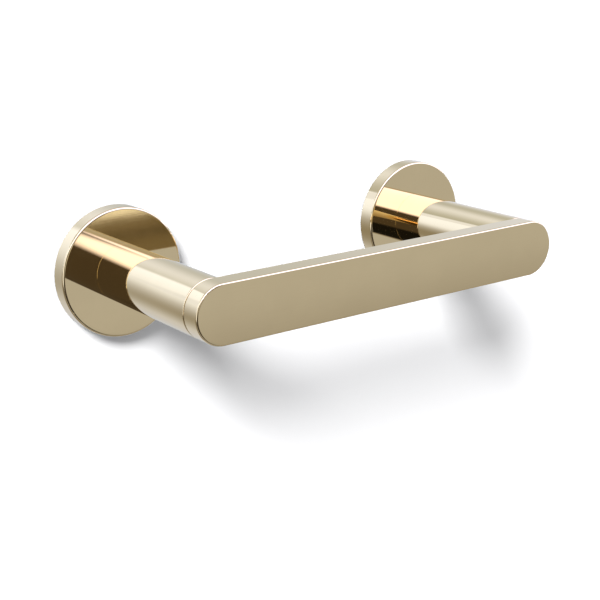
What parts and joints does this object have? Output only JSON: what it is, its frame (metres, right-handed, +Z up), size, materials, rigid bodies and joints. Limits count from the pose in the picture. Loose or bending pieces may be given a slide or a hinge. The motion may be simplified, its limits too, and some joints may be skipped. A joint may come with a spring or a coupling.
{
  "type": "toilet paper holder",
  "caption": "Wall-mounted toilet paper holder: a flat bar with round ends between two round posts on round covers; the bar lifts at one end so a roll slides on.",
  "frame": {"origin": "on the wall plane, midway between the two post axes", "axes": "+X along the bar to the user's right, +Y straight into the wall, +Z up; the holder stands out from the wall towards -Y"},
  "size_m": [0.2206, 0.087, 0.0566],
  "materials": {
    "polished_brass": "polished champagne gold",
    "plain_brass": "turned, uncoated",
    "zinc_steel": "zinc plated",
    "hard_steel": "ground",
    "bush_polymer": "natural",
    "black_polymer": "black"
  },
  "bodies": {
    "holder": {"wall_plate_left": "zinc_steel", "wall_plate_right": "zinc_steel", "cover_left": "polished_brass", "cover_right": "polished_brass", "cover_grub_screws": "hard_steel", "post_left": "polished_brass", "post_right": "polished_brass", "post_base_left": "plain_brass", "post_base_right": "plain_brass", "post_screws": "zinc_steel", "lock_washers": "zinc_steel", "dowel_pins": "hard_steel", "pivot_housing": "plain_brass", "pivot_bush_front": "bush_polymer", "pivot_bush_rear": "bush_polymer", "thrust_washer": "black_polymer", "stop_pin": "hard_steel", "rest_plug": "plain_brass", "rest_pin": "hard_steel", "rest_sleeve": "black_polymer"},
    "bar": {"pivot_spindle": "hard_steel", "spring_washer": "hard_steel", "retaining_washer": "zinc_steel", "lock_nut": "zinc_steel", "bar": "polished_brass"}
  },
  "joints": [
    {"name": "bar_lift", "type": "hinge", "parent": "holder", "child": "bar", "pos_m": [-0.082, -0.0824, 0], "axis": [0, -1, 0], "range_deg": [0, 100]}
  ]
}
